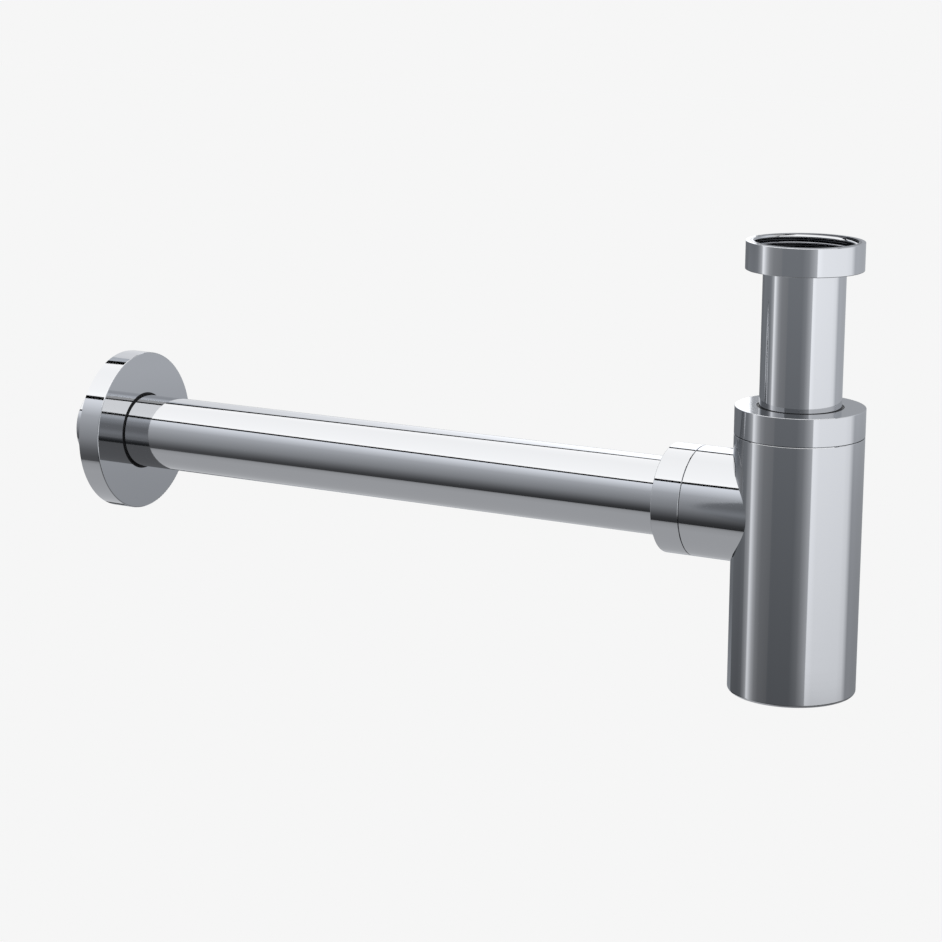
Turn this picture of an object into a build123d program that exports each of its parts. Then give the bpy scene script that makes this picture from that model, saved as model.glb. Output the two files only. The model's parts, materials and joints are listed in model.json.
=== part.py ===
from build123d import *
import os

# Chrome-plated brass bottle trap for a washbasin, in millimetres.
# The origin is the centre of the inlet nut's mouth. +Z runs up the inlet and +Y runs
# along the outlet pipe to the wall, so the bottle hangs below the origin.

# Dip tube and wall pipe
tube_diameter = 32.0
tube_wall = 1.0
tube_end_chamfer = 0.3
dip_tube_length = 150.0
exposed_tube_length = 53.4
pipe_length = 300.0
pipe_insertion = 14.8

# Inlet nut, washer and the collar that the dip tube hangs by
inlet_thread_diameter = 41.9
inlet_thread_depth = 1.48
inlet_thread_chamfer = 0.4
inlet_relief_depth = 0.4
inlet_relief_clearance = 0.1
inlet_nut_wall = 1.9
inlet_nut_height = 11.0
inlet_nut_web = 1.8
inlet_hole_clearance = 0.3
collar_clearance = 0.27
collar_thickness = 1.2
collar_fillet = 0.8
inlet_hole_chamfer = 1.0
washer_thickness = 2.0
washer_lip = 0.3

# Bottle
body_diameter = 50.8
sump_depth = 21.1
body_wall = 1.5
body_edge_fillet = 1.2
base_thickness = 7.0
base_inner_fillet = 2.0
outlet_drop = 31.3

# Side boss
boss_reach = 40.8
boss_wall = 1.5

# Gland: wedge seal, slip ring and nut, the same on the neck and on the boss
clamp_nut_height = 11.3
outlet_nut_height = 12.1
clamp_nut_wall = 1.4
outlet_nut_wall = 1.2
nut_web = 2.0
nut_hole_clearance = 1.0
nut_edge_fillet = 0.25
seam_gap = 0.3
seam_chamfer = 0.1
thread_clearance = 0.1
spigot_length = 6.6
spigot_wall = 1.75
spigot_chamfer = 0.6
gland_plate = 2.4
guide_clearance = 0.3
seal_wall = 3.2
seal_nose_wall = 1.4
seal_length = 6.5
seal_land = 1.0
seal_clearance = 0.05
seat_clearance = 0.15
slip_flange_thickness = 1.5
slip_clearance = 0.08
slip_collar_clearance = 0.1
slip_collar_recess = 0.2

# Cleaning plug
plug_thread_diameter = 36.0
plug_head_overhang = 2.5
plug_head_thickness = 2.0
plug_head_clearance = 0.2
plug_head_fillet = 0.3
plug_wall = 3.4
plug_floor = 3.2
coin_slot_length = 22.0
coin_slot_width = 2.4
coin_slot_depth = 1.2
o_ring_section = 1.44
o_ring_squeeze_gap = 0.03
o_ring_side_clearance = 0.1
o_ring_recess_width = 2.1

# Wall flange
flange_diameter = 69.8
flange_thickness = 10.2
flange_plate = 2.0
flange_rim_wall = 1.5
flange_edge_fillet = 0.4
flange_hub_wall = 2.6
flange_hub_length = 8.0
flange_hole_clearance = 1.0
flange_standoff = 16.0
grip_groove_start = 2.4
grip_groove_width = 2.4
grip_groove_depth = 1.2
grip_ring_length = 6.0
grip_ring_recess = 0.15
grip_clearance = 0.08

# Radii that several pieces share
tube_radius = tube_diameter / 2
tube_bore_radius = tube_radius - tube_wall
inlet_thread_radius = inlet_thread_diameter / 2
collar_radius = inlet_thread_radius - inlet_thread_depth - collar_clearance
body_radius = body_diameter / 2
neck_radius = body_radius - clamp_nut_wall - thread_clearance
cavity_radius = body_radius - body_wall
guide_radius = tube_radius + guide_clearance
seal_radius = tube_radius + seal_wall
seal_nose_radius = tube_radius + seal_nose_wall
spigot_radius = seal_radius + spigot_wall
boss_radius = spigot_radius + thread_clearance + outlet_nut_wall
boss_bore_radius = boss_radius - boss_wall
nut_hole_radius = tube_radius + nut_hole_clearance
plug_thread_radius = plug_thread_diameter / 2
plug_head_radius = plug_thread_radius + plug_head_overhang
flange_radius = flange_diameter / 2
flange_hole_radius = tube_radius + flange_hole_clearance

# Heights down the inlet axis
inlet_shoulder_z = inlet_nut_web - inlet_nut_height
collar_top_z = inlet_shoulder_z + collar_thickness
washer_top_z = collar_top_z + washer_thickness
neck_seam_z = -inlet_nut_height - exposed_tube_length - clamp_nut_height
outlet_z = neck_seam_z - outlet_drop
dip_tube_end_z = collar_top_z - dip_tube_length
body_bottom_z = dip_tube_end_z - sump_depth
body_height = neck_seam_z - body_bottom_z

# Distances along the outlet axis
pipe_start_y = boss_reach + outlet_nut_height - pipe_insertion
pipe_end_y = pipe_start_y + pipe_length
flange_front_y = pipe_end_y - flange_standoff - flange_thickness

# Turned pieces are drawn standing on +Z, then laid along the outlet where they belong
on_neck = Pos(0, 0, neck_seam_z)
along_outlet = Pos(0, 0, outlet_z) * Rot(-90, 0, 0)
on_boss = along_outlet * Pos(0, 0, boss_reach)

same_place = 0.001


def turned(outline):
    """Revolve a closed outline of (radius, height) points about the Z axis."""
    points = [(radius, 0, height) for radius, height in outline]
    return revolve(make_face(Polyline(*points, close=True)), Axis.Z)


def rim(solid, radius, height):
    """Find the circular edge of this radius about the Z axis at this height."""
    circles = solid.edges().filter_by(GeomType.CIRCLE)
    return [
        edge
        for edge in circles
        if abs(edge.radius - radius) < same_place and abs(edge.arc_center.Z - height) < same_place
    ]


def straight_tube(start, end):
    """Outline of a plain tube between two heights, with both outer ends chamfered."""
    return [
        (tube_bore_radius, start),
        (tube_radius - tube_end_chamfer, start),
        (tube_radius, start + tube_end_chamfer),
        (tube_radius, end - tube_end_chamfer),
        (tube_radius - tube_end_chamfer, end),
        (tube_bore_radius, end),
    ]


def seal_bottom(nut_height):
    """Height of the wedge seal's nose above the seam, under a tight nut of this height."""
    return nut_height - nut_web - slip_flange_thickness - seal_length


def gland_seat(nut_height):
    """Outline inside a neck or spigot: conical seat, then the hole that guides the tube."""
    floor = seal_bottom(nut_height) - seat_clearance
    slope = (seal_radius - seal_nose_radius) / (seal_length - seal_land)
    nose_radius = seal_nose_radius + seat_clearance
    mouth_radius = nose_radius + slope * (spigot_length - floor)
    return [
        (mouth_radius, spigot_length),
        (nose_radius, floor),
        (guide_radius, floor),
        (guide_radius, -gland_plate),
    ]


def inlet_nut():
    """Round union nut: thread for the basin waste, relief for the washer, web for the collar."""
    outer = inlet_thread_radius + inlet_nut_wall
    hole = tube_radius + inlet_hole_clearance
    relief = inlet_thread_radius + inlet_relief_depth
    thread_end = washer_top_z + inlet_relief_clearance
    nut = turned(
        [
            (inlet_thread_radius, -inlet_thread_chamfer),
            (inlet_thread_radius + inlet_thread_chamfer, 0),
            (outer, 0),
            (outer, -inlet_nut_height),
            (hole, -inlet_nut_height),
            (hole, inlet_shoulder_z - inlet_hole_chamfer),
            (hole + inlet_hole_chamfer, inlet_shoulder_z),
            (relief, inlet_shoulder_z),
            (relief, thread_end),
            (inlet_thread_radius, thread_end),
        ]
    )
    rims = rim(nut, outer, 0) + rim(nut, outer, -inlet_nut_height)
    return fillet(rims, nut_edge_fillet)


def inlet_tube():
    """Dip tube with the collar that hangs in the inlet nut."""
    tube = turned(
        [
            (tube_bore_radius, collar_top_z),
            (collar_radius, collar_top_z),
            (collar_radius, inlet_shoulder_z),
            (tube_radius, inlet_shoulder_z),
            (tube_radius, dip_tube_end_z + tube_end_chamfer),
            (tube_radius - tube_end_chamfer, dip_tube_end_z),
            (tube_bore_radius, dip_tube_end_z),
        ]
    )
    return fillet(rim(tube, tube_radius, inlet_shoulder_z), collar_fillet)


def inlet_washer():
    """Flat rubber washer that lies on the collar and seals against the waste."""
    hole = tube_bore_radius + washer_lip
    return turned(
        [
            (hole, collar_top_z),
            (collar_radius, collar_top_z),
            (collar_radius, washer_top_z),
            (hole, washer_top_z),
        ]
    )


def gland_nut(thread_radius, wall, height):
    """Round nut that screws down over a spigot, standing a seam's gap off the shoulder."""
    bore = thread_radius + thread_clearance
    outer = bore + wall
    nut = turned(
        [
            (bore, seam_gap),
            (outer - seam_chamfer, seam_gap),
            (outer, seam_gap + seam_chamfer),
            (outer, height),
            (nut_hole_radius, height),
            (nut_hole_radius, height - nut_web),
            (bore, height - nut_web),
        ]
    )
    return fillet(rim(nut, outer, height), nut_edge_fillet)


def slip_ring(nut_height):
    """Plastic ring between nut and seal, with a collar that centres the tube in the nut."""
    hole = tube_radius + slip_clearance
    collar = nut_hole_radius - slip_collar_clearance
    top = nut_height - nut_web
    bottom = top - slip_flange_thickness
    collar_top = nut_height - slip_collar_recess
    return turned(
        [
            (hole, bottom),
            (seal_radius, bottom),
            (seal_radius, top),
            (collar, top),
            (collar, collar_top),
            (hole, collar_top),
        ]
    )


def cone_seal(nut_height):
    """Rubber wedge ring that the slip ring pushes into the conical seat."""
    hole = tube_radius + seal_clearance
    bottom = seal_bottom(nut_height)
    top = bottom + seal_length
    return turned(
        [
            (hole, bottom),
            (seal_nose_radius, bottom),
            (seal_radius, top - seal_land),
            (seal_radius, top),
            (hole, top),
        ]
    )


def bottle():
    """The bottle alone: threaded neck and tube gland above, cleaning port in the base."""
    base_top = base_thickness - body_height
    head_seat = plug_head_thickness - body_height
    recess_top = head_seat + o_ring_section + 2 * o_ring_squeeze_gap
    head_hole = plug_head_radius + plug_head_clearance
    recess_radius = plug_thread_radius + o_ring_recess_width
    shell = turned(
        [
            (head_hole, -body_height),
            (body_radius, -body_height),
            (body_radius, -seam_chamfer),
            (body_radius - seam_chamfer, 0),
            (neck_radius, 0),
            (neck_radius, spigot_length - spigot_chamfer),
            (neck_radius - spigot_chamfer, spigot_length),
            *gland_seat(clamp_nut_height),
            (cavity_radius, -gland_plate),
            (cavity_radius, base_top),
            (plug_thread_radius, base_top),
            (plug_thread_radius, recess_top),
            (recess_radius, recess_top),
            (recess_radius, head_seat),
            (head_hole, head_seat),
        ]
    )
    shell = fillet(rim(shell, body_radius, -body_height), body_edge_fillet)
    shell = fillet(rim(shell, cavity_radius, base_top), base_inner_fillet)
    return on_neck * shell


def side_boss():
    """Hollow boss from the bottle's axis out to its spigot, before it is fitted to the shell."""
    outline = [
        (boss_bore_radius, -boss_reach),
        (boss_radius, -boss_reach),
        (boss_radius, -seam_chamfer),
        (boss_radius - seam_chamfer, 0),
        (spigot_radius, 0),
        (spigot_radius, spigot_length - spigot_chamfer),
        (spigot_radius - spigot_chamfer, spigot_length),
        *gland_seat(outlet_nut_height),
        (boss_bore_radius, -gland_plate),
    ]
    return on_boss * turned(outline)


def trap_body():
    """Bottle and boss as one piece, with the waterway open between them."""
    up = (Align.CENTER, Align.CENTER, Align.MIN)
    waterway = along_outlet * Cylinder(boss_bore_radius, boss_reach - gland_plate, align=up)
    cavity = on_neck * Pos(0, 0, base_thickness - body_height) * Cylinder(
        cavity_radius, body_height - base_thickness - gland_plate, align=up
    )
    return (bottle() - waterway) + (side_boss() - cavity)


def cleaning_plug():
    """Hollow screwed plug, flush with the underside, with a coin slot."""
    shank = plug_thread_radius - thread_clearance
    bore = shank - plug_wall
    plug = turned(
        [
            (0, 0),
            (plug_head_radius, 0),
            (plug_head_radius, plug_head_thickness),
            (shank, plug_head_thickness),
            (shank, base_thickness),
            (bore, base_thickness),
            (bore, plug_floor),
            (0, plug_floor),
        ]
    )
    plug = fillet(rim(plug, plug_head_radius, 0), plug_head_fillet)
    plug -= extrude(SlotOverall(coin_slot_length, coin_slot_width), coin_slot_depth)
    return Pos(0, 0, body_bottom_z) * plug


def plug_o_ring():
    """O-ring round the plug's shank, squeezed between its head and the recess."""
    section_radius = o_ring_section / 2
    ring_radius = plug_thread_radius + o_ring_side_clearance + section_radius
    ring_z = body_bottom_z + plug_head_thickness + o_ring_squeeze_gap + section_radius
    return Pos(0, 0, ring_z) * Torus(ring_radius, section_radius)


def outlet_pipe():
    """Plain pipe from inside the boss to the wall."""
    return along_outlet * turned(straight_tube(pipe_start_y, pipe_end_y))


def wall_flange():
    """Deep cover plate: front plate, outer rim, and a hub grooved for the grip ring."""
    hub_radius = flange_hole_radius + flange_hub_wall
    groove_radius = flange_hole_radius + grip_groove_depth
    groove_end = grip_groove_start + grip_groove_width
    rim_bore = flange_radius - flange_rim_wall
    flange = turned(
        [
            (flange_hole_radius, 0),
            (flange_radius, 0),
            (flange_radius, flange_thickness),
            (rim_bore, flange_thickness),
            (rim_bore, flange_plate),
            (hub_radius, flange_plate),
            (hub_radius, flange_hub_length),
            (flange_hole_radius, flange_hub_length),
            (flange_hole_radius, groove_end),
            (groove_radius, groove_end),
            (groove_radius, grip_groove_start),
            (flange_hole_radius, grip_groove_start),
        ]
    )
    flange = fillet(rim(flange, flange_radius, 0), flange_edge_fillet)
    return along_outlet * Pos(0, 0, flange_front_y) * flange


def flange_grip_ring():
    """Rubber sleeve with a bead that sits in the hub's groove and grips the pipe."""
    hole = tube_radius + grip_clearance
    sleeve = flange_hole_radius - grip_clearance
    bead = flange_hole_radius + grip_groove_depth - grip_clearance
    bead_start = grip_groove_start + grip_clearance
    bead_end = grip_groove_start + grip_groove_width - grip_clearance
    ring = turned(
        [
            (hole, grip_ring_recess),
            (sleeve, grip_ring_recess),
            (sleeve, bead_start),
            (bead, bead_start),
            (bead, bead_end),
            (sleeve, bead_end),
            (sleeve, grip_ring_length),
            (hole, grip_ring_length),
        ]
    )
    return along_outlet * Pos(0, 0, flange_front_y) * ring


pieces = {
    "inlet_nut": inlet_nut(),
    "inlet_washer": inlet_washer(),
    "inlet_tube": inlet_tube(),
    "tube_cone_seal": on_neck * cone_seal(clamp_nut_height),
    "tube_slip_ring": on_neck * slip_ring(clamp_nut_height),
    "clamp_nut": on_neck * gland_nut(neck_radius, clamp_nut_wall, clamp_nut_height),
    "trap_body": trap_body(),
    "cleaning_plug": cleaning_plug(),
    "plug_o_ring": plug_o_ring(),
    "outlet_cone_seal": on_boss * cone_seal(outlet_nut_height),
    "outlet_slip_ring": on_boss * slip_ring(outlet_nut_height),
    "outlet_nut": on_boss * gland_nut(spigot_radius, outlet_nut_wall, outlet_nut_height),
    "outlet_pipe": outlet_pipe(),
    "wall_flange": wall_flange(),
    "flange_grip_ring": flange_grip_ring(),
}

os.makedirs("parts", exist_ok=True)
for node, solid in pieces.items():
    export_step(solid, f"parts/{node}.step")
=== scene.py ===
# %% [markdown]
# # A chrome bottle trap, dressed for its picture
# This is the waste trap that hangs under a washbasin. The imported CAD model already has
# every turned piece at its true size, so this lesson gives those pieces their finish,
# cuts the one thread that shows, and builds the studio that polished chrome needs:
# a mirror has no look of its own, only the look of the room around it.

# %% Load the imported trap
import json
import math

import bpy
from mathutils import Matrix, Vector


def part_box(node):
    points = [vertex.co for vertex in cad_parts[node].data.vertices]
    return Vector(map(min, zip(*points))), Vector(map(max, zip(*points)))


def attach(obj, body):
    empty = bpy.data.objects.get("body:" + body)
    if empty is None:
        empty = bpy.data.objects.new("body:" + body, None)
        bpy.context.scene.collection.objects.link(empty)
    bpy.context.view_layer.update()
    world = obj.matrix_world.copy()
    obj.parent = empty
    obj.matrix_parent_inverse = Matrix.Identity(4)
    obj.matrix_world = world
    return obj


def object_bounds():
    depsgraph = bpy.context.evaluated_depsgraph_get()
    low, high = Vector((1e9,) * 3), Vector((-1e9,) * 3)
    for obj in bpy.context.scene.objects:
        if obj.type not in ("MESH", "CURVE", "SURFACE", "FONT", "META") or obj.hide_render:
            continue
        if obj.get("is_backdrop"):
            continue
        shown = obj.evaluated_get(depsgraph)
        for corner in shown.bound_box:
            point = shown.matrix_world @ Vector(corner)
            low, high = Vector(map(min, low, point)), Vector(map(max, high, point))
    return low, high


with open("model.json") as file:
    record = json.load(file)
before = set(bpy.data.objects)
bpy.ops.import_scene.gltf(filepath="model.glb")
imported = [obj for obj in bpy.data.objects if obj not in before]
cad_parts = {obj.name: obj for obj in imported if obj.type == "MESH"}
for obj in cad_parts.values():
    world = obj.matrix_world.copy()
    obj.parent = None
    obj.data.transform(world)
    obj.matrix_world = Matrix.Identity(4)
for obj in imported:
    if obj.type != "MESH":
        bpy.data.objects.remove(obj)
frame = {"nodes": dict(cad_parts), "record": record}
cad_low, cad_high = (list(corner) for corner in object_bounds())
nodes = frame["nodes"]
print("pieces of the trap:", ", ".join(sorted(nodes)))
print("box of the trap:", [round(v, 4) for v in cad_low], [round(v, 4) for v in cad_high])

# %% [markdown]
# ## Places that the finish needs
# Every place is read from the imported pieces, so that the finish still fits when a size
# in the CAD source changes. The inlet nut, tube and bottle stand on the vertical axis
# x = y = 0. The wall pipe lies along Y, at the height of the outlet.

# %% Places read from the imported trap
mouth_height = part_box("inlet_nut")[1].z
washer_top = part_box("inlet_washer")[1].z
pipe_low, pipe_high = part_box("outlet_pipe")
outlet_height = (pipe_low.z + pipe_high.z) / 2
print("outlet height:", round(outlet_height, 4), "m; depth of the thread:",
      round(mouth_height - washer_top, 4), "m")


# %% [markdown]
# ## Three small helpers
# Colours are written as the sRGB hex codes that a paint chart gives, and one function
# turns them into the linear numbers that Blender's shaders add and multiply. The second
# adds a node of any kind, sets it and links it, in one line. The third starts a material.

# %% Helpers
def linear(hex_code):
    """An sRGB colour such as '#BFC0C2' as Blender's linear RGBA."""
    channels = [int(hex_code[i:i + 2], 16) / 255 for i in (1, 3, 5)]
    return [c / 12.92 if c <= 0.04045 else ((c + 0.055) / 1.055) ** 2.4 for c in channels] + [1.0]


def add_node(tree, kind, inputs=None, stops=None, **settings):
    """One node: its settings, its input values or links, and a colour ramp's stops."""
    made = tree.nodes.new(kind)
    for name, value in settings.items():
        setattr(made, name, value)
    for socket, value in (inputs or {}).items():
        if isinstance(value, bpy.types.NodeSocket):
            tree.links.new(value, made.inputs[socket])
        else:
            made.inputs[socket].default_value = value
    for i, (position, grey) in enumerate(stops or []):
        stop = made.color_ramp.elements[i] if i < 2 else made.color_ramp.elements.new(position)
        stop.position = position
        stop.color = (grey, grey, grey, 1)
    return made


def new_material(name):
    """An empty material and its node tree."""
    material = bpy.data.materials.new(name)
    material.use_nodes = True
    material.node_tree.nodes.clear()
    return material, material.node_tree


print("a mid grey, #808080, is", round(linear("#808080")[0], 3), "in linear numbers")

# %% [markdown]
# ## Chrome plate on turned brass
# The trap is turned from brass, polished on a mop and plated with nickel and then with
# less than a micrometre of chromium. Chromium is a very slightly blue grey metal that
# reflects a little over half of the light, so the colour below is dark for a "silver".
# It is all metal, with a roughness near zero. Those two values alone would do, and would
# look like a computer's mirror, so two things are added. The mop leaves rings round the
# axis a few tenths of a millimetre apart, which show only as a faint change of gloss, and
# the brass under the plate is flat only to a few micrometres, which bends long
# reflections very slightly. Both are noise on the piece's own coordinates: that needs no
# image, and it stays put when the piece moves.
# Inside the bores nothing is polished, and the plating bath hardly reaches: there the
# metal is dull and darker. In the narrow holes round the tube and the pipe, the same mask
# carries painted shade instead: a near black that stands for the gap's shade.

# %% Chromium plate
CHROME_COLOUR = "#BFC0C2"
RING_PITCH = 0.0004      # metres between the mop's rings
WAVE_WIDTH = 0.018       # metres across one soft wave of the brass
WAVE_HEIGHT = 0.000008   # metres
GLOSS = {"To Min": 0.03, "To Max": 0.06}
BORE_DULLNESS = {"To Min": 0.25, "To Max": 0.4}
BORE_EDGE = 0.0001       # metres over which bright turns dull


def chrome_plate(name, axis_point, along, bore_radius, bore_colour_and_gap_shade):
    """Polished plate on a piece turned round a line through axis_point that lies along
    X, Y or Z (0, 1 or 2). Nearer to that line than bore_radius it is dull, with a second
    colour: the bore's own darker metal, or painted shade where the bore is a narrow gap."""
    material, tree = new_material(name)
    place = add_node(tree, "ShaderNodeTexCoord").outputs["Object"]
    centred = add_node(tree, "ShaderNodeVectorMath", {0: place, 1: axis_point},
                       operation="SUBTRACT").outputs[0]
    lying = [1.0 if i == along else 0.0 for i in range(3)]
    across = [1.0 - part for part in lying]
    spoke = add_node(tree, "ShaderNodeVectorMath", {0: centred, 1: across}, operation="MULTIPLY").outputs[0]
    radius = add_node(tree, "ShaderNodeVectorMath", {0: spoke}, operation="LENGTH").outputs["Value"]
    length = add_node(tree, "ShaderNodeVectorMath", {0: centred, 1: lying},
                      operation="DOT_PRODUCT").outputs["Value"]
    rings = add_node(tree, "ShaderNodeCombineXYZ", {"X": radius, "Y": length}).outputs[0]
    mop = add_node(tree, "ShaderNodeTexNoise", {
        "Vector": rings, "Scale": 1 / RING_PITCH, "Detail": 2.0}).outputs[0]
    wave = add_node(tree, "ShaderNodeTexNoise", {
        "Vector": place, "Scale": 1 / WAVE_WIDTH, "Detail": 1.0}).outputs[0]
    gloss = add_node(tree, "ShaderNodeMapRange", {
        "Value": mop, "From Min": 0.3, "From Max": 0.7, **GLOSS}).outputs[0]
    inside = add_node(tree, "ShaderNodeMapRange", {
        "Value": radius, "From Min": bore_radius - BORE_EDGE, "From Max": bore_radius,
        "To Min": 1.0, "To Max": 0.0}).outputs[0]
    dullness = add_node(tree, "ShaderNodeMapRange", {"Value": wave, **BORE_DULLNESS}).outputs[0]
    roughness = add_node(tree, "ShaderNodeMix", {0: inside, 2: gloss, 3: dullness}).outputs[0]
    # Inside the bore radius the colour is the second one: the bore's own darker metal, or painted shade for
    # a narrow gap.
    colour = add_node(tree, "ShaderNodeMix", {
        0: inside, 6: linear(CHROME_COLOUR), 7: linear(bore_colour_and_gap_shade)}, data_type="RGBA").outputs[2]
    bump = add_node(tree, "ShaderNodeBump", {"Height": wave, "Distance": WAVE_HEIGHT}).outputs[0]
    surface = add_node(tree, "ShaderNodeBsdfPrincipled", {
        "Base Color": colour, "Metallic": 1.0, "Roughness": roughness, "Normal": bump}).outputs[0]
    add_node(tree, "ShaderNodeOutputMaterial", {"Surface": surface})
    return material


print("chromium in linear numbers:", [round(channel, 3) for channel in linear(CHROME_COLOUR)[:3]])

# %% [markdown]
# ## Plate in a thread
# The nut's thread is cut before the nut is plated, and neither the mop nor the bath
# reaches far into it. Its crests are as bright as the outside at the mouth, and thin and
# dull below the first turn. Its roots are painted almost black: painted shade, for the
# narrow roots that lie deep in the thread. A mask painted on a UV map could say where
# each of these is, but a thread is turned: height and radius already say it, with no
# map to keep in step.

# %% Plate in a thread
THREAD_BORE = 0.02095        # radius that the CAD nut is bored to, which is the roots' radius
CREST_COLOUR = "#A2A3A7"
# Painted shade: the roots' near black stands for the shade deep in the thread.
ROOT_PAINTED_SHADE = "#56575B"
ROOT_FROM, ROOT_TO = THREAD_BORE - 0.0006, THREAD_BORE - 0.0003
STAIN_WIDTH = 0.003
CREST_GLOSS = 0.05
CREST_DULLNESS = {"To Min": 0.14, "To Max": 0.2}


def thread_plate(bright_above, dull_below):
    """Plate in an upright threaded bore: bright above one height, dull below another, and
    painted almost black in the roots, as painted shade."""
    material, tree = new_material("chrome_plate_in_the_thread_with_painted_root_shade")
    place = add_node(tree, "ShaderNodeTexCoord").outputs["Object"]
    height = add_node(tree, "ShaderNodeSeparateXYZ", {0: place}).outputs["Z"]
    spoke = add_node(tree, "ShaderNodeVectorMath", {0: place, 1: (1, 1, 0)}, operation="MULTIPLY").outputs[0]
    radius = add_node(tree, "ShaderNodeVectorMath", {0: spoke}, operation="LENGTH").outputs["Value"]
    root = add_node(tree, "ShaderNodeMapRange", {
        "Value": radius, "From Min": ROOT_FROM, "From Max": ROOT_TO}).outputs[0]
    stain = add_node(tree, "ShaderNodeTexNoise", {
        "Vector": place, "Scale": 1 / STAIN_WIDTH, "Detail": 2.0}).outputs[0]
    thin = add_node(tree, "ShaderNodeMapRange", {
        "Value": height, "From Min": dull_below, "From Max": bright_above,
        "To Min": 1.0, "To Max": 0.0}).outputs[0]
    crest = add_node(tree, "ShaderNodeMix", {
        0: thin, 6: linear(CHROME_COLOUR), 7: linear(CREST_COLOUR)}, data_type="RGBA").outputs[2]
    # In the roots the colour is painted shade.
    colour = add_node(tree, "ShaderNodeMix", {
        0: root, 6: crest, 7: linear(ROOT_PAINTED_SHADE)}, data_type="RGBA").outputs[2]
    dullness = add_node(tree, "ShaderNodeMapRange", {"Value": stain, **CREST_DULLNESS}).outputs[0]
    roughness = add_node(tree, "ShaderNodeMix", {0: thin, 2: CREST_GLOSS, 3: dullness}).outputs[0]
    surface = add_node(tree, "ShaderNodeBsdfPrincipled", {
        "Base Color": colour, "Metallic": 1.0, "Roughness": roughness}).outputs[0]
    add_node(tree, "ShaderNodeOutputMaterial", {"Surface": surface})
    return material


print("roots of the thread from radius", round(ROOT_FROM * 1000, 2), "mm outwards")

# %% [markdown]
# ## The plates of this trap
# A piece gets the plate whose rings run round its own axis. The tube and the pipe turn
# dull inside their own bore. A nut or the flange turns dull in the hole that the tube or
# the pipe goes through, and there its colour is painted almost black: painted shade for
# the gap, which is a millimetre wide and several deep, with only a seal at its end. Both
# radii are a touch more than those of the surfaces that they darken.

# %% The plates of this trap
INSIDE_TUBE = (0.0151, "#6E7074")
# The second colour here is painted shade: the near black of the narrow gap round the tube or the pipe.
GAP_SHADE_ROUND_TUBE = (0.01705, "#2C2C2E")
BRIGHT_DEPTH, DULL_DEPTH = 0.0016, 0.0024   # metres below the mouth

inlet_axis, upright = (0, 0, 0), 2
outlet_axis, lengthways = (0, 0, outlet_height), 1
upright_chrome = chrome_plate("chrome_plate_upright_turning", inlet_axis, upright, *INSIDE_TUBE)
outlet_chrome = chrome_plate("chrome_plate_outlet_turning", outlet_axis, lengthways, *INSIDE_TUBE)
round_tube_chrome_and_gap_shade = chrome_plate("chrome_plate_and_painted_gap_shade_round_the_tube", inlet_axis, upright, *GAP_SHADE_ROUND_TUBE)
round_pipe_chrome_and_gap_shade = chrome_plate("chrome_plate_and_painted_gap_shade_round_the_pipe", outlet_axis, lengthways, *GAP_SHADE_ROUND_TUBE)
thread_chrome_and_root_shade = thread_plate(mouth_height - BRIGHT_DEPTH, mouth_height - DULL_DEPTH)
for plate in (upright_chrome, outlet_chrome, round_tube_chrome_and_gap_shade, round_pipe_chrome_and_gap_shade, thread_chrome_and_root_shade):
    print(plate.name, "with", len(plate.node_tree.nodes), "nodes")

# %% [markdown]
# ## Rubber seals
# The seals are moulded EPDM rubber, black with carbon. Moulded rubber is matt, because
# the mould is spark eroded, and a thin bloom makes it grey in patches. A plain black
# would look like a hole, so soft noise mixes two blacks and two levels of gloss. The
# grain is about a fifth of a millimetre wide, and low.

# %% Moulded rubber
RUBBER_COLOUR = "#0A0A0B"
RUBBER_BLOOM = "#131315"
BLOOM_WIDTH = 0.006
RUBBER_GRAIN = 0.0002
RUBBER_GRAIN_HEIGHT = 0.00001


def moulded_rubber():
    """Matt black rubber with a faint bloom."""
    material, tree = new_material("epdm_rubber_moulded")
    place = add_node(tree, "ShaderNodeTexCoord").outputs["Object"]
    bloom = add_node(tree, "ShaderNodeTexNoise", {
        "Vector": place, "Scale": 1 / BLOOM_WIDTH, "Detail": 3.0}).outputs[0]
    grain = add_node(tree, "ShaderNodeTexNoise", {
        "Vector": place, "Scale": 1 / RUBBER_GRAIN, "Detail": 1.0}).outputs[0]
    colour = add_node(tree, "ShaderNodeMix", {
        0: bloom, 6: linear(RUBBER_COLOUR), 7: linear(RUBBER_BLOOM)}, data_type="RGBA").outputs[2]
    roughness = add_node(tree, "ShaderNodeMapRange", {
        "Value": bloom, "To Min": 0.55, "To Max": 0.75}).outputs[0]
    bump = add_node(tree, "ShaderNodeBump", {"Height": grain, "Distance": RUBBER_GRAIN_HEIGHT}).outputs[0]
    surface = add_node(tree, "ShaderNodeBsdfPrincipled", {
        "Base Color": colour, "Roughness": roughness, "IOR": 1.52, "Specular IOR Level": 0.25,
        "Normal": bump}).outputs[0]
    add_node(tree, "ShaderNodeOutputMaterial", {"Surface": surface})
    return material


rubber = moulded_rubber()
print(rubber.name, "with", len(rubber.node_tree.nodes), "nodes")

# %% [markdown]
# ## Plastic slip rings
# The rings between each nut and its rubber seal are injection moulded polypropylene,
# black and satin, so that the nut slides on them and doesn't wring the rubber. The
# mould's fine spark texture breaks the shine. Its pits are small cells, not waves, so
# they come from a Voronoi pattern, where the rubber's grain comes from noise.

# %% Moulded plastic
PLASTIC_COLOUR = "#0B0B0C"
PLASTIC_FLOW = "#121214"
FLOW_WIDTH = 0.009
SPARK_WIDTH = 0.0003
SPARK_HEIGHT = 0.000012


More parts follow.
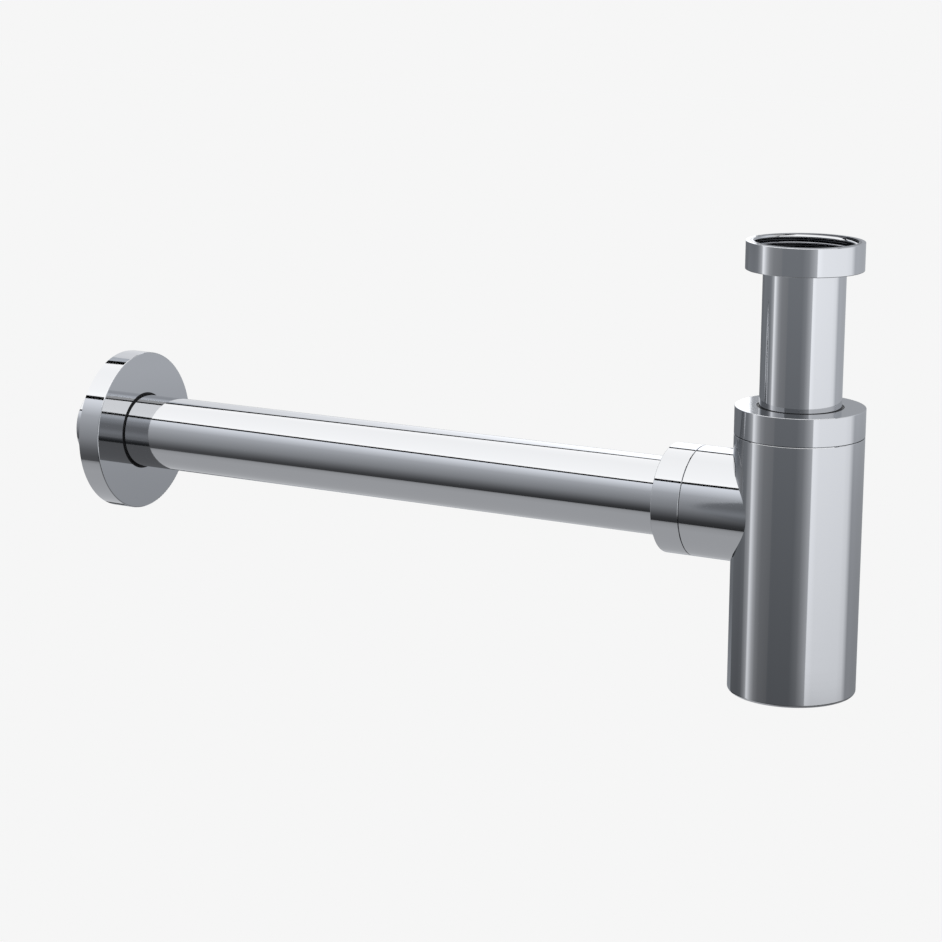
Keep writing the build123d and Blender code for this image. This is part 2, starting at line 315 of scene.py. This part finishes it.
def moulded_plastic():
    """Satin black plastic with faint flow marks."""
    material, tree = new_material("polypropylene_satin_moulded")
    place = add_node(tree, "ShaderNodeTexCoord").outputs["Object"]
    flow = add_node(tree, "ShaderNodeTexNoise", {
        "Vector": place, "Scale": 1 / FLOW_WIDTH, "Detail": 2.0}).outputs[0]
    spark = add_node(tree, "ShaderNodeTexVoronoi", {
        "Vector": place, "Scale": 1 / SPARK_WIDTH}).outputs["Distance"]
    colour = add_node(tree, "ShaderNodeMix", {
        0: flow, 6: linear(PLASTIC_COLOUR), 7: linear(PLASTIC_FLOW)}, data_type="RGBA").outputs[2]
    roughness = add_node(tree, "ShaderNodeMapRange", {
        "Value": flow, "To Min": 0.35, "To Max": 0.5}).outputs[0]
    bump = add_node(tree, "ShaderNodeBump", {"Height": spark, "Distance": SPARK_HEIGHT}).outputs[0]
    surface = add_node(tree, "ShaderNodeBsdfPrincipled", {
        "Base Color": colour, "Roughness": roughness, "IOR": 1.49, "Specular IOR Level": 0.3,
        "Normal": bump}).outputs[0]
    add_node(tree, "ShaderNodeOutputMaterial", {"Surface": surface})
    return material


plastic = moulded_plastic()
print(plastic.name, "with", len(plastic.node_tree.nodes), "nodes")

# %% [markdown]
# ## Give each piece its finish
# The CAD pieces keep their own meshes, which are exact, so a piece only gets a new
# material in its slot. The record says which piece is rubber or plastic. All others are
# chrome, and the table says which of them has another plate than the upright one.

# %% Finishes
# The nuts and the flange take the plates with painted gap shade in their holes.
PLATES = {"outlet_pipe": outlet_chrome, "outlet_nut": round_pipe_chrome_and_gap_shade, "wall_flange": round_pipe_chrome_and_gap_shade,
          "clamp_nut": round_tube_chrome_and_gap_shade, "inlet_nut": round_tube_chrome_and_gap_shade}
FINISHES = {"black_rubber": rubber, "black_plastic": plastic}
for part in frame["record"]["subparts"]:
    node_name, piece = part["node"], nodes[part["node"]]
    finish = FINISHES.get(part["material_slot"]) or PLATES.get(node_name, upright_chrome)
    piece.data.materials.clear()
    piece.data.materials.append(finish)
    print(f"{node_name}: {finish.name}")

# %% [markdown]
# ## The thread in the inlet nut
# The nut screws on a basin waste, which has the pipe thread that all of them have:
# eleven threads to the inch, 2.309 mm from crest to crest and 1.48 mm deep, with round
# crests and roots and a right-hand turn. The CAD nut is bored to the thread's roots, so
# what is added here is a thin threaded lining. A Screw modifier could sweep one
# thread's profile round the axis, but it leaves open ends and can't be cut level with
# the mouth. Here the lining is a sleeve whose radius at any place follows one rule, and
# a rule is a job for Geometry Nodes: they bend a flat grid into the sleeve and move
# each of its points to the radius that the rule gives. The tree comes first, with the
# sizes that it takes.

# %% The tree and the sizes that it takes
LENGTHS = ("Root radius", "Depth", "Pitch", "Start turn", "Bottom", "Top", "Cone offset", "Outer radius")
COUNTS = ("Steps round", "Steps up")
thread_tree = bpy.data.node_groups.new("threaded_lining", "GeometryNodeTree")
for size in LENGTHS:
    thread_tree.interface.new_socket(size, in_out="INPUT", socket_type="NodeSocketFloat")
for size in COUNTS:
    thread_tree.interface.new_socket(size, in_out="INPUT", socket_type="NodeSocketInt")
thread_tree.interface.new_socket("Lining", in_out="OUTPUT", socket_type="NodeSocketGeometry")
given = add_node(thread_tree, "NodeGroupInput").outputs
print("the tree takes:", ", ".join(LENGTHS + COUNTS))

# %% [markdown]
# The grid is one metre square round the origin. Its X becomes the turn round the axis,
# from 0 to 1, and its Y becomes a row number. Row 0 is the sleeve's outer foot. The next
# rows are its inside, from foot to mouth. The last but one is its outer top, and the
# last comes back to the foot, where it meets row 0, so the sleeve is a closed body.

# %% Turn, row and height of each point
MATH = "ShaderNodeMath"
steps_up = given["Steps up"]
rows = add_node(thread_tree, MATH, {0: steps_up, 1: 4.0}, operation="ADD").outputs[0]
grid = add_node(thread_tree, "GeometryNodeMeshGrid", {
    "Size X": 1.0, "Size Y": 1.0, "Vertices X": given["Steps round"], "Vertices Y": rows}).outputs["Mesh"]
position = add_node(thread_tree, "GeometryNodeInputPosition").outputs[0]
spot = add_node(thread_tree, "ShaderNodeSeparateXYZ", {0: position}).outputs
turn = add_node(thread_tree, MATH, {0: spot["X"], 1: 0.5}, operation="ADD").outputs[0]
part_up = add_node(thread_tree, MATH, {0: spot["Y"], 1: 0.5}, operation="ADD").outputs[0]
last_row = add_node(thread_tree, MATH, {0: steps_up, 1: 3.0}, operation="ADD").outputs[0]
row = add_node(thread_tree, MATH, {0: part_up, 1: last_row}, operation="MULTIPLY").outputs[0]

steps_climbed = add_node(thread_tree, MATH, {0: row, 1: 1.0}, operation="SUBTRACT").outputs[0]
climbing = add_node(thread_tree, MATH, {0: steps_climbed, 1: steps_up}, operation="DIVIDE").outputs[0]
climbed = add_node(thread_tree, "ShaderNodeClamp", {0: climbing}).outputs[0]
before_last = add_node(thread_tree, MATH, {0: steps_up, 1: 2.5}, operation="ADD").outputs[0]
is_last = add_node(thread_tree, MATH, {0: row, 1: before_last}, operation="GREATER_THAN").outputs[0]
not_last = add_node(thread_tree, MATH, {0: 1.0, 1: is_last}, operation="SUBTRACT").outputs[0]
share_up = add_node(thread_tree, MATH, {0: climbed, 1: not_last}, operation="MULTIPLY").outputs[0]
height = add_node(thread_tree, "ShaderNodeMapRange", {
    "Value": share_up, "To Min": given["Bottom"], "To Max": given["Top"]}).outputs[0]

past_inside = add_node(thread_tree, MATH, {0: steps_up, 1: 1.5}, operation="ADD").outputs[0]
is_first = add_node(thread_tree, MATH, {0: row, 1: 0.5}, operation="LESS_THAN").outputs[0]
is_past = add_node(thread_tree, MATH, {0: row, 1: past_inside}, operation="GREATER_THAN").outputs[0]
outside = add_node(thread_tree, MATH, {0: is_first, 1: is_past}, operation="ADD").outputs[0]
print("nodes for turn, row and height:", len(thread_tree.nodes))

# %% [markdown]
# Now the rule. A thread is a wave along the height that climbs by one pitch in each
# turn. A plain cosine has flanks that are too gentle, so a little of its cube is taken
# away, which makes the flanks steeper and the crests and roots broader. A small 45
# degree cone at the mouth then blunts the first crest, wherever the cone is the wider
# of the two.

# %% The radius of each point
FULL_TURN = 2 * math.pi
ROUNDING = 0.2

pitches_up = add_node(thread_tree, MATH, {0: height, 1: given["Pitch"]}, operation="DIVIDE").outputs[0]
turned = add_node(thread_tree, MATH, {0: turn, 1: given["Start turn"]}, operation="ADD").outputs[0]
ahead = add_node(thread_tree, MATH, {0: pitches_up, 1: turned}, operation="SUBTRACT").outputs[0]
phase = add_node(thread_tree, MATH, {0: ahead, 1: FULL_TURN}, operation="MULTIPLY").outputs[0]
wave = add_node(thread_tree, MATH, {0: phase}, operation="COSINE").outputs[0]
cubed = add_node(thread_tree, MATH, {0: wave, 1: 3.0}, operation="POWER").outputs[0]
taller = add_node(thread_tree, MATH, {0: wave, 1: 1 + ROUNDING}, operation="MULTIPLY").outputs[0]
taken = add_node(thread_tree, MATH, {0: cubed, 1: ROUNDING}, operation="MULTIPLY").outputs[0]
rounded = add_node(thread_tree, MATH, {0: taller, 1: taken}, operation="SUBTRACT").outputs[0]

below_root = add_node(thread_tree, MATH, {0: rounded, 1: 1.0}, operation="SUBTRACT").outputs[0]
half_depth = add_node(thread_tree, MATH, {0: given["Depth"], 1: 0.5}, operation="MULTIPLY").outputs[0]
hollow = add_node(thread_tree, MATH, {0: below_root, 1: half_depth}, operation="MULTIPLY").outputs[0]
thread = add_node(thread_tree, MATH, {0: given["Root radius"], 1: hollow}, operation="ADD").outputs[0]
cone = add_node(thread_tree, MATH, {0: height, 1: given["Cone offset"]}, operation="ADD").outputs[0]
inside = add_node(thread_tree, MATH, {0: thread, 1: cone}, operation="MAXIMUM").outputs[0]
radius = add_node(thread_tree, "ShaderNodeMix", {
    0: outside, 2: inside, 3: given["Outer radius"]}).outputs[0]
print("nodes with the rule:", len(thread_tree.nodes))

# %% [markdown]
# Turn, height and radius bend the grid. Only the threaded faces are shaded smooth, so
# that the sleeve's foot and top keep their edges. The doubled points of the seam and of
# the foot are merged, and the faces are flipped, because a grid that is rolled up this
# way round shows its back.

# %% Bend and close the sleeve
MERGE_DISTANCE = 0.000001

angle = add_node(thread_tree, MATH, {0: turn, 1: FULL_TURN}, operation="MULTIPLY").outputs[0]
cosine = add_node(thread_tree, MATH, {0: angle}, operation="COSINE").outputs[0]
sine = add_node(thread_tree, MATH, {0: angle}, operation="SINE").outputs[0]
bent_x = add_node(thread_tree, MATH, {0: radius, 1: cosine}, operation="MULTIPLY").outputs[0]
bent_y = add_node(thread_tree, MATH, {0: radius, 1: sine}, operation="MULTIPLY").outputs[0]
bent = add_node(thread_tree, "ShaderNodeCombineXYZ", {"X": bent_x, "Y": bent_y, "Z": height}).outputs[0]

after_foot = add_node(thread_tree, MATH, {0: row, 1: 1.0}, operation="GREATER_THAN").outputs[0]
mouth_row = add_node(thread_tree, MATH, {0: steps_up, 1: 1.0}, operation="ADD").outputs[0]
before_top = add_node(thread_tree, MATH, {0: row, 1: mouth_row}, operation="LESS_THAN").outputs[0]
threaded = add_node(thread_tree, MATH, {0: after_foot, 1: before_top}, operation="MULTIPLY").outputs[0]
flat = add_node(thread_tree, "GeometryNodeSetShadeSmooth", {
    "Geometry": grid, "Shade Smooth": False}).outputs[0]
smooth = add_node(thread_tree, "GeometryNodeSetShadeSmooth", {
    "Geometry": flat, "Selection": threaded}).outputs[0]
sleeve = add_node(thread_tree, "GeometryNodeSetPosition", {
    "Geometry": smooth, "Position": bent}).outputs[0]
closed = add_node(thread_tree, "GeometryNodeMergeByDistance", {
    "Geometry": sleeve, "Distance": MERGE_DISTANCE}).outputs[0]
outward = add_node(thread_tree, "GeometryNodeFlipFaces", {"Mesh": closed}).outputs[0]
real = add_node(thread_tree, "GeometryNodeRealizeInstances", {"Geometry": outward}).outputs[0]
dressed = add_node(thread_tree, "GeometryNodeSetMaterial", {
    "Geometry": real, "Material": thread_chrome_and_root_shade}).outputs[0]
add_node(thread_tree, "NodeGroupOutput", {"Lining": dressed})
print("nodes in the whole tree:", len(thread_tree.nodes))

# %% [markdown]
# The sleeve's plain outside is sunk in the nut's wall. Its roots, foot and top stand off
# the nut's bore, washer and mouth by a tenth of a millimetre or less, so that no two
# faces lie in one place. A carrier object holds the tree as a modifier, and the mesh
# that comes out is kept as a plain object. The turn at which the thread starts is the
# one that puts its run-out at the mouth where the photograph has it.

# %% Cut the thread
THREAD_PITCH = 0.002309
THREAD_DEPTH = 0.00148
THREAD_START = -0.05            # turns
ROOT_GAP, FOOT_GAP, TOP_GAP = 0.00002, 0.0001, 0.00001
SUNK = 0.00045                  # metres from the bore into the nut's wall
CONE_INTO_BORE = 0.0012         # metres from the bore to the cone's rim at the mouth
STEPS_ROUND, STEPS_UP = 289, 128

sizes = {
    "Root radius": THREAD_BORE - ROOT_GAP, "Outer radius": THREAD_BORE + SUNK,
    "Depth": THREAD_DEPTH - ROOT_GAP, "Pitch": THREAD_PITCH, "Start turn": THREAD_START,
    "Bottom": washer_top + FOOT_GAP, "Top": mouth_height - TOP_GAP,
    "Cone offset": THREAD_BORE - CONE_INTO_BORE - mouth_height,
    "Steps round": STEPS_ROUND, "Steps up": STEPS_UP}
carrier = bpy.data.objects.new("carrier", bpy.data.meshes.new("carrier"))
bpy.context.scene.collection.objects.link(carrier)
modifier = carrier.modifiers.new("thread", "NODES")
modifier.node_group = thread_tree
for item in thread_tree.interface.items_tree:
    if item.in_out == "INPUT":
        modifier[item.identifier] = sizes[item.name]
graph = bpy.context.evaluated_depsgraph_get()
lining = bpy.data.objects.new("inlet_thread_lining",
                              bpy.data.meshes.new_from_object(carrier.evaluated_get(graph)))
bpy.data.objects.remove(carrier)
bpy.context.scene.collection.objects.link(lining)
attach(lining, "inlet_nut_body")

radii = [math.hypot(v.co.x, v.co.y) * 1000 for v in lining.data.vertices]
heights = [v.co.z * 1000 for v in lining.data.vertices]
print("thread lining:", len(lining.data.polygons), "faces, radius", round(min(radii), 2), "to",
      round(max(radii), 2), "mm, z from", round(min(heights), 2), "to", round(max(heights), 2), "mm")

# %% [markdown]
# ## The studio: what a mirror sees
# The chrome shows a large room with grey walls that are darker towards the floor, a big
# soft light overhead in a dark frame, one soft light beside the camera, a narrow one to
# the left and a bright one behind. A picture of a real room, wrapped round the scene, is
# the usual way to give a mirror something to see. But this script reads no picture, and
# the edges of these lights have to fall where they do on the real trap. So each is a
# card here, far enough away that all parts of the trap see it in nearly the same
# direction. The cards are seen only in reflections: they light nothing and throw no
# shadow, so the lamps below can stay at a plain level. A card's tone is written as the
# sRGB level that the plate shows of it.

# %% The tone of a card
STUDIO_CENTRE = Vector((0.0, (cad_low[1] + cad_high[1]) / 2, outlet_height))
PLATE_REFLECTS = linear(CHROME_COLOUR)[1]
LAMP_CLOTH, CEILING_CLOTH, WALL_PAINT, SCREEN_PAINT = "#F9FBFF", "#FFFFFF", "#F0F6FF", "#F4F8FF"


def shown(level):
    """How bright a card is, for the plate to show it at this sRGB level from 0 to 255."""
    return linear("#" + format(round(level), "02X") * 3)[0] / PLATE_REFLECTS


def evenly(level):
    """The same tone from the foot of a card to its top."""
    return [(0.0, shown(level)), (1.0, shown(level))]


def share(value, low, high):
    """Where a value lies between two others, from 0 to 1."""
    return (value - low) / (high - low)


print("the plate shows a card of brightness", round(shown(128), 3), "as level 128")

# %% [markdown]
# A card glows by itself. One colour ramp gives its tone from foot to top. Two more run
# across it: one dims it towards a side, and one says how much of the card is there, so
# that a softbox can end in a sharp edge on one side and fade out on the other. The
# emission's colour is the cloth's or the paint's tint, divided by its own green, so that
# a tint changes the hue and not the level.

# %% The material of a card
UNDIMMED = [(0.0, 1.0, 1.0), (1.0, 1.0, 1.0)]


def card_material(name, upward, across=UNDIMMED, tint=LAMP_CLOTH):
    """A glowing card: upward is (place, brightness) along its height, and across is
    (place, share of that brightness, how solid the card is)."""
    material, tree = new_material(name)
    cloth = [channel / linear(tint)[1] for channel in linear(tint)[:3]] + [1.0]
    uv = add_node(tree, "ShaderNodeTexCoord").outputs["UV"]
    axes = add_node(tree, "ShaderNodeSeparateXYZ", {0: uv}).outputs
    dimming = [(place, dimmed) for place, dimmed, solid in across]
    cover = [(place, solid) for place, dimmed, solid in across]
    height_tone = add_node(tree, "ShaderNodeValToRGB", {0: axes["Y"]}, upward).outputs[0]
    width_tone = add_node(tree, "ShaderNodeValToRGB", {0: axes["X"]}, dimming).outputs[0]
    there = add_node(tree, "ShaderNodeValToRGB", {0: axes["X"]}, cover).outputs[0]
    power = add_node(tree, "ShaderNodeMath", {0: width_tone, 1: height_tone},
                     operation="MULTIPLY").outputs[0]
    glow = add_node(tree, "ShaderNodeEmission", {"Color": cloth, "Strength": power}).outputs[0]
    clear = add_node(tree, "ShaderNodeBsdfTransparent").outputs[0]
    mixed = add_node(tree, "ShaderNodeMixShader", {0: there, 1: clear, 2: glow}).outputs[0]
    add_node(tree, "ShaderNodeOutputMaterial", {"Surface": mixed})
    material.cycles.emission_sampling = "NONE"
    return material


print("cards are tinted", LAMP_CLOTH, CEILING_CLOTH, WALL_PAINT, SCREEN_PAINT)

# %% [markdown]
# A wall or a softbox is bent round the trap, so that each of its points is equally far
# away and its place can be given in degrees: an azimuth from +X towards +Y, and an
# elevation over the outlet's height. The ceiling and the floor are flat and level.

# %% The shape of a card
STEPS_ACROSS_CARD, STEPS_UP_CARD = 48, 16


def set_up_card(name, points, faces, uvs, material):
    """A card as a stage piece that only reflections see."""
    mesh = bpy.data.meshes.new(name)
    mesh.from_pydata(points, [], faces)
    layer = mesh.uv_layers.new(name="card")
    for loop in mesh.loops:
        layer.data[loop.index].uv = uvs[loop.vertex_index]
    mesh.materials.append(material)
    card = bpy.data.objects.new(name, mesh)
    bpy.context.scene.collection.objects.link(card)
    card.visible_camera = card.visible_diffuse = card.visible_shadow = False
    card.visible_transmission = card.visible_volume_scatter = False
    card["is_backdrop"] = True


def curved_card(name, distance, azimuths, elevations, material):
    """A card bent round the trap, between two azimuths and two elevations in degrees."""
    points, uvs, faces = [], [], []
    for row in range(STEPS_UP_CARD + 1):
        v = row / STEPS_UP_CARD
        high = math.radians(elevations[0] + v * (elevations[1] - elevations[0]))
        for column in range(STEPS_ACROSS_CARD + 1):
            u = column / STEPS_ACROSS_CARD
            around = math.radians(azimuths[0] + u * (azimuths[1] - azimuths[0]))
            level = math.cos(high)
            direction = Vector((level * math.cos(around), level * math.sin(around), math.sin(high)))
            points.append(STUDIO_CENTRE + distance * direction)
            uvs.append((u, v))
    for row in range(STEPS_UP_CARD):
        for column in range(STEPS_ACROSS_CARD):
            first = row * (STEPS_ACROSS_CARD + 1) + column
            above = first + STEPS_ACROSS_CARD + 1
            faces.append((first, first + 1, above + 1, above))
    set_up_card(name, points, faces, uvs, material)


def level_card(name, height, along_reach, over_reach, turn, material):
    """A flat level card over or under the trap, turned by turn degrees; a reach is (from, to)."""
    a = math.radians(turn)
    along, over = Vector((math.cos(a), math.sin(a), 0)), Vector((-math.sin(a), math.cos(a), 0))
    uvs = [(0, 0), (1, 0), (1, 1), (0, 1)]
    points = [STUDIO_CENTRE + along * along_reach[u] + over * over_reach[v] + Vector((0, 0, height))
              for u, v in uvs]
    set_up_card(name, points, [(0, 1, 2, 3)], uvs, material)


print("a bent card has", STEPS_ACROSS_CARD * STEPS_UP_CARD, "faces, a level one has 1")

# %% [markdown]
# The walls come first. The room is lit from above, so each wall is dark at the floor
# and light at the ceiling. The one behind the camera hangs in more shade, the far left
# one has a shaded band just over the outlet's height, and the one on the right is a
# plain mid grey screen that gets darker towards its far end. A dark band of painted
# shade runs along the back wall's foot. Where two cards lie in one direction, the nearer
# one is seen.

# %% The walls
WALL_AWAY, SHADE_BAND_AWAY = 7.5, 7.4    # metres from the trap
WALL = (-41.0, 41.0)                   # elevations of a wall's foot and top


def wall(name, azimuths, tones, dimming=UNDIMMED, tint=WALL_PAINT):
    """One wall from (elevation in degrees, tone that the plate shows) pairs."""
    upward = [(share(elevation, *WALL), shown(tone)) for elevation, tone in tones]
    curved_card(name, WALL_AWAY, azimuths, WALL, card_material(name, upward, dimming, tint))


wall("far_left_wall", (60.0, 108.0),
     [(-41, 26), (-35, 30), (-27, 50), (-20, 72), (-15, 88), (-12, 99), (-7.6, 109), (-5, 80), (-3, 74),
      (2, 78), (12, 94), (22, 112), (33, 130), (41, 160)])
wall("left_wall", (108.0, 158.0),
     [(-41, 26), (-35, 30), (-27, 50), (-20, 76), (-13, 98), (-5, 118), (9, 139), (20, 156), (33, 200),
      (41, 219)], tint=SCREEN_PAINT)
wall("camera_wall", (158.0, 232.0),
     [(-41, 26), (-35, 30), (-27, 48), (-20, 72), (-15.2, 85.5), (-13, 92.5), (-11.3, 97), (-8, 108),
      (-5, 112), (5, 94), (15, 96), (28, 150), (36, 215), (41, 222)])
wall("right_screen", (232.0, 381.4),
     [(-41, 50), (-25, 105), (-15, 133), (-13.2, 140), (-12, 149), (-10.6, 162), (-8, 164), (10, 168),
      (26, 172), (33, 205), (41, 225)],
     [(0.0, 1.0, 1.0), (0.6, 1.0, 1.0), (0.67, 0.93, 1.0), (0.79, 0.82, 1.0), (0.87, 0.74, 1.0),
      (1.0, 0.62, 1.0)], SCREEN_PAINT)
wall("back_wall", (21.4, 60.0),
     [(-41, 158), (-30, 156), (-21, 150), (-16, 100), (0, 108), (8, 130), (41, 190)],
     [(0.0, 0.7, 1.0), (0.4, 0.75, 1.0), (1.0, 0.9, 1.0)])
# This dark card is painted shade at the foot of the back wall.
curved_card("painted_shade_at_wall_foot", SHADE_BAND_AWAY, (38.5, 60.0), (-33.0, -24.0), card_material("painted_shade_at_wall_foot", evenly(62)))
print("walls: far left, left, behind the camera, right and back")

# %% [markdown]
# Then the lights that stand in front of the walls. A softbox has a sharp edge where its
# frame is and fades where it is turned away. Its edges are written as (azimuth, share
# of the tone, how much of the card is there). The side light stands beside the camera,
# the strip to the left, and the rear light behind the trap, brightest where it meets
# the right screen.

# %% The softboxes
STRIP_AWAY, SIDE_AWAY, REAR_AWAY = 7.2, 7.1, 7.0
SIDE, STRIP, REAR = (-162.0, -46.0), (88.0, 162.0), (21.4, 46.0)
REAR_HEIGHT = (-5.0, 41.0)

side_tones = [(-41, 20), (-25, 30), (-20, 110), (-17.4, 199), (-14.8, 206), (-8, 222), (-2, 224),
              (6, 205), (20, 190), (41, 185)]
side_edges = [(-162, 1.0, 0.0), (-150, 1.0, 0.08), (-142, 1.0, 0.25), (-134.6, 1.0, 0.44),
              (-133.4, 1.14, 0.98), (-129, 1.1, 1.0), (-122, 1.02, 1.0), (-72, 1.0, 0.98),
              (-60, 1.0, 0.82), (-53, 1.0, 0.38), (-48, 1.0, 0.0)]
curved_card("side_softbox", SIDE_AWAY, SIDE, WALL, card_material(
    "side_softbox", [(share(elevation, *WALL), shown(tone)) for elevation, tone in side_tones],
    [(share(azimuth, *SIDE), dimmed, solid) for azimuth, dimmed, solid in side_edges]))

strip_upward = [(0.0, shown(150)), (0.32, shown(205)), (0.42, shown(229)), (1.0, shown(236))]
strip_edges = [(88, 0.0), (98, 0.03), (106, 0.2), (111, 0.36), (113.4, 0.9), (115.6, 1.0), (119, 0.75),
               (124, 0.42), (131, 0.16), (140, 0.05), (162, 0.0)]
curved_card("strip_light", STRIP_AWAY, STRIP, WALL, card_material(
    "strip_light", strip_upward, [(share(azimuth, *STRIP), 1.0, solid) for azimuth, solid in strip_edges]))

rear_tones = [(-5, 183), (0, 190), (8, 197), (20, 208), (28, 221), (35, 230), (41, 236)]
rear_edges = [(21.4, 1.6), (24, 1.52), (28, 1.3), (30, 1.13), (33, 1.0), (35, 0.92), (40, 0.82), (46, 0.7)]
curved_card("rear_light", REAR_AWAY, REAR, REAR_HEIGHT, card_material(
    "rear_light", [(share(elevation, *REAR_HEIGHT), shown(tone)) for elevation, tone in rear_tones],
    [(share(azimuth, *REAR), dimmed, 1.0) for azimuth, dimmed in rear_edges]))
print("softboxes: side, strip and rear, over", SIDE, STRIP, REAR, "degrees of azimuth")

# %% [markdown]
# Overhead hangs the main light, a rectangle of cloth in a dark frame that shows in the
# pipe as two thin lines. Neither is centred over the trap, because the frame's edges
# are put where those lines need them. Under the trap lies a grey floor cloth, with
# painted shade of the side light's stand on that side and painted shade along its far
# edge, at the foot of the wall.

# %% Over and under the trap
ROOM_TURN, FLOOR_TURN = 63.0, 75.0     # degrees from +X
CEILING_HEIGHT = 3.6                   # metres over the outlet
FRAME_BEHIND_CLOTH = 0.02
FLOOR_CLOTH_HEIGHT = -2.92

level_card("ceiling_frame", CEILING_HEIGHT + FRAME_BEHIND_CLOTH, (-4.22, 4.22), (-2.69, 4.3), ROOM_TURN,
           card_material("ceiling_frame", evenly(2)))
ceiling_upward = [(0.0, shown(243)), (0.37, shown(238)), (0.85, shown(244)), (1.0, shown(250))]
ceiling_across = [(0.0, 1.4, 1.0), (0.2, 1.3, 1.0), (0.4, 1.2, 1.0), (0.5, 1.0, 1.0), (0.88, 1.0, 1.0),
                  (1.0, 1.06, 1.0)]
level_card("ceiling_cloth", CEILING_HEIGHT, (-3.64, 3.64), (-2.19, 3.74), ROOM_TURN,
           card_material("ceiling_cloth", ceiling_upward, ceiling_across, CEILING_CLOTH))
# The floor cloth's tone falls towards one edge, painted shade at the wall's foot, and floor_across dims one
# side, painted shade of the stand.
floor_upward = [(0.0, shown(150)), (0.8, shown(150)), (0.93, shown(142)), (1.0, shown(116))]
floor_across = [(0.0, 0.4, 1.0), (0.42, 0.46, 1.0), (0.56, 1.0, 1.0), (0.75, 1.0, 1.0), (1.0, 1.25, 1.0)]
level_card("floor_cloth", FLOOR_CLOTH_HEIGHT, (-4.0, 4.0), (-4.0, 4.0), FLOOR_TURN,
           card_material("floor_cloth", floor_upward, floor_across))
print("ceiling light", CEILING_HEIGHT, "m over and floor cloth", -FLOOR_CLOTH_HEIGHT, "m under the outlet")

# %% [markdown]
# ## The pale background
# What the camera sees behind the trap is a plain pale room. A big lit backdrop could
# give that, but it would have to be far larger than the trap. Instead the world is
# pale for the camera and for reflections, and gives the matt pieces a plain even light.

# %% Pale world
BACKGROUND = "#F6F6F6"
EVEN_LIGHT = 0.4

world = bpy.data.worlds.new("pale_room")
bpy.context.scene.world = world
world.use_nodes = True
world.node_tree.nodes.clear()
ray = add_node(world.node_tree, "ShaderNodeLightPath").outputs
either = add_node(world.node_tree, MATH, {0: ray["Is Camera Ray"], 1: ray["Is Glossy Ray"]},
                  operation="MAXIMUM").outputs[0]
seen = add_node(world.node_tree, MATH, {0: either, 1: ray["Is Transmission Ray"]},
                operation="MAXIMUM").outputs[0]
pale = add_node(world.node_tree, "ShaderNodeBackground", {
    "Color": linear(BACKGROUND), "Strength": 1.0}).outputs[0]
even = add_node(world.node_tree, "ShaderNodeBackground", {
    "Color": (1, 1, 1, 1), "Strength": EVEN_LIGHT}).outputs[0]
sky = add_node(world.node_tree, "ShaderNodeMixShader", {0: seen, 1: even, 2: pale}).outputs[0]
add_node(world.node_tree, "ShaderNodeOutputWorld", {"Surface": sky})
print("even light:", EVEN_LIGHT, "of the whole")

# %% [markdown]
# ## Lamp and floor
# One soft sun lamp gives the rest of the light. Its strength is worked out so that lamp
# and even light together make a level matt surface render as its colour is written. The
# floor is far below, because the trap hangs, and is painted the background's tone.

# %% Lamp and floor
SUN_SLOPE = math.radians(35)
SUN_WIDTH = math.radians(30)
SUN_TURN = math.radians(-60)
FLOOR_REACH = 60
FLOOR_BELOW = 5.2

sun = bpy.data.objects.new("soft_sun", bpy.data.lights.new("soft_sun", "SUN"))
sun.data.energy = math.pi * (1 - EVEN_LIGHT) / math.cos(SUN_SLOPE)
sun.data.angle = SUN_WIDTH
sun.rotation_euler = (SUN_SLOPE, 0, SUN_TURN)
sun.visible_glossy = False
bpy.context.scene.collection.objects.link(sun)

floor_mesh = bpy.data.meshes.new("pale_floor")
floor_corners = [(x * FLOOR_REACH, y * FLOOR_REACH, 0) for x, y in ((-1, -1), (1, -1), (1, 1), (-1, 1))]
floor_mesh.from_pydata(floor_corners, [], [(0, 1, 2, 3)])
floor_mesh.transform(Matrix.Translation((0, 0, STUDIO_CENTRE.z - FLOOR_BELOW)))
floor_material, floor_tree = new_material("pale_floor_paint")
floor_paint = add_node(floor_tree, "ShaderNodeBsdfDiffuse", {"Color": linear(BACKGROUND)}).outputs[0]
add_node(floor_tree, "ShaderNodeOutputMaterial", {"Surface": floor_paint})
floor_mesh.materials.append(floor_material)
floor = bpy.data.objects.new("pale_floor", floor_mesh)
bpy.context.scene.collection.objects.link(floor)
floor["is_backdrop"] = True
print("lamp:", round(sun.data.energy, 2), "W/m2")

# %% [markdown]
# ## The camera
# The photograph's lines give its place: it looks from the bottle's side, a little from
# above, with a long lens from about a metre away. A camera could be aimed with a Track
# To constraint, but this one also rolls by a quarter of a degree, so its three axes
# are worked out and written as a matrix.

# %% Camera
AIM = Vector((0.0, 0.14543, -0.10684))
AZIMUTH, ELEVATION, ROLL = (math.radians(v) for v in (-61.27, 12.91, 0.25))
DISTANCE = 1.08121
LENS, SENSOR = 98.97, 36.0    # millimetres

level = math.cos(ELEVATION)
back = Vector((math.sin(AZIMUTH) * level, -math.cos(AZIMUTH) * level, math.sin(ELEVATION)))
right = (-back).cross(Vector((0, 0, 1))).normalized()
up = right.cross(-back)
rolled_right = right * math.cos(ROLL) + up * math.sin(ROLL)
rolled_up = up * math.cos(ROLL) - right * math.sin(ROLL)

camera = bpy.data.objects.new("camera", bpy.data.cameras.new("camera"))
camera.data.lens = LENS
camera.data.sensor_width = SENSOR
facing = Matrix((rolled_right, rolled_up, back)).transposed().to_4x4()
camera.matrix_world = Matrix.Translation(AIM + back * DISTANCE) @ facing
bpy.context.scene.collection.objects.link(camera)
bpy.context.scene.camera = camera
bpy.context.scene.view_settings.view_transform = "Standard"
print("camera at", [round(v, 3) for v in camera.matrix_world.translation])
